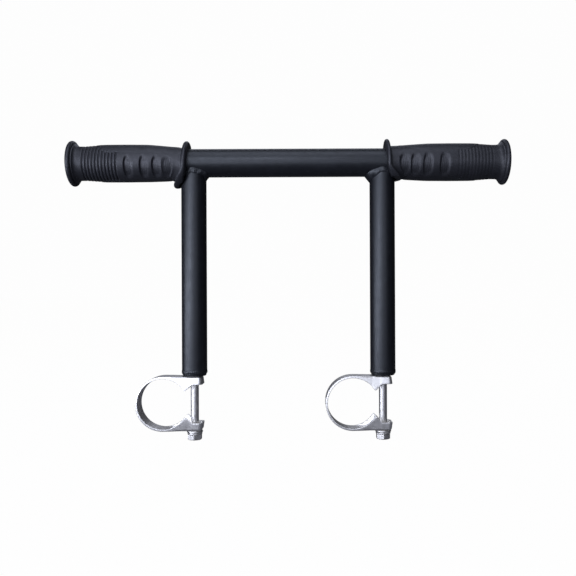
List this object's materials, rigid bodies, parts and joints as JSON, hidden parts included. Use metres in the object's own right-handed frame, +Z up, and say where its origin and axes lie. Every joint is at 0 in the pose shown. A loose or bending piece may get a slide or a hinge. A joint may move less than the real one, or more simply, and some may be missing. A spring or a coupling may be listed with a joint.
{
  "type": "pull up bar",
  "caption": "Pull up bar on pipe clamps: a straight crossbar with a ribbed rubber grip at each end, welded on two uprights that stand on bolted swivelling strap clamps.",
  "frame": {"origin": "centre of the left clamp's pipe bore", "axes": "+X along the crossbar from the left clamp to the right one, +Y along the clamped pipe and away from the front, +Z up from the clamps to the crossbar"},
  "size_m": [0.436, 0.047, 0.2987],
  "materials": {
    "black_tube": "satin black powder coat",
    "painted_weld": "satin black over a rippled bead",
    "grip_rubber": "matte moulded",
    "clamp_strap": "bright zinc plate",
    "fastener_zinc": "bright zinc plate"
  },
  "bodies": {
    "bar": {"crossbar": "black_tube", "left_grip": "grip_rubber", "right_grip": "grip_rubber", "left_upright": "black_tube", "right_upright": "black_tube", "left_top_weld": "painted_weld", "right_top_weld": "painted_weld", "left_threaded_foot": "black_tube", "right_threaded_foot": "black_tube", "left_foot_weld": "painted_weld", "right_foot_weld": "painted_weld"},
    "left_upper_jaw": {"left_upper_jaw": "clamp_strap"},
    "left_lower_jaw": {"left_lower_jaw": "clamp_strap"},
    "left_washers": {"left_flat_washer": "fastener_zinc", "left_spring_washer": "fastener_zinc"},
    "left_bolt": {"left_bolt": "fastener_zinc"},
    "right_upper_jaw": {"right_upper_jaw": "clamp_strap"},
    "right_lower_jaw": {"right_lower_jaw": "clamp_strap"},
    "right_washers": {"right_flat_washer": "fastener_zinc", "right_spring_washer": "fastener_zinc"},
    "right_bolt": {"right_bolt": "fastener_zinc"}
  },
  "joints": [
    {"name": "left_clamp_swivel", "type": "hinge", "parent": "bar", "child": "left_upper_jaw", "pos_m": [0.0305, 0, 0.027], "axis": [0, 0, 1], "continuous": true},
    {"name": "left_jaw_close", "type": "hinge", "parent": "left_upper_jaw", "child": "left_lower_jaw", "pos_m": [-0.026, 0, 0], "axis": [0, -1, 0], "range_deg": [-1.02, 3.05]},
    {"name": "left_bolt_travel", "type": "slide", "parent": "bar", "child": "left_washers", "axis": [0, 0, 1], "range_m": [-0.001, 0.003]},
    {"name": "left_bolt_turn", "type": "hinge", "parent": "left_washers", "child": "left_bolt", "pos_m": [0.0305, 0, -0.0336], "axis": [0, 0, 1], "range_deg": [-290, 867]},
    {"name": "right_clamp_swivel", "type": "hinge", "parent": "bar", "child": "right_upper_jaw", "pos_m": [0.2185, 0, 0.027], "axis": [0, 0, 1], "continuous": true},
    {"name": "right_jaw_close", "type": "hinge", "parent": "right_upper_jaw", "child": "right_lower_jaw", "pos_m": [0.162, 0, 0], "axis": [0, -1, 0], "range_deg": [-1.02, 3.05]},
    {"name": "right_bolt_travel", "type": "slide", "parent": "bar", "child": "right_washers", "axis": [0, 0, 1], "range_m": [-0.001, 0.003]},
    {"name": "right_bolt_turn", "type": "hinge", "parent": "right_washers", "child": "right_bolt", "pos_m": [0.2185, 0, -0.0336], "axis": [0, 0, 1], "range_deg": [-290, 867]}
  ],
  "couplings": [
    {"joint": "left_bolt_turn", "follows": "left_bolt_travel", "rad_per_m": 5026.6},
    {"joint": "left_jaw_close", "follows": "left_bolt_travel", "rad_per_m": 17.699},
    {"joint": "right_bolt_turn", "follows": "right_bolt_travel", "rad_per_m": 5026.6},
    {"joint": "right_jaw_close", "follows": "right_bolt_travel", "rad_per_m": 17.699}
  ]
}
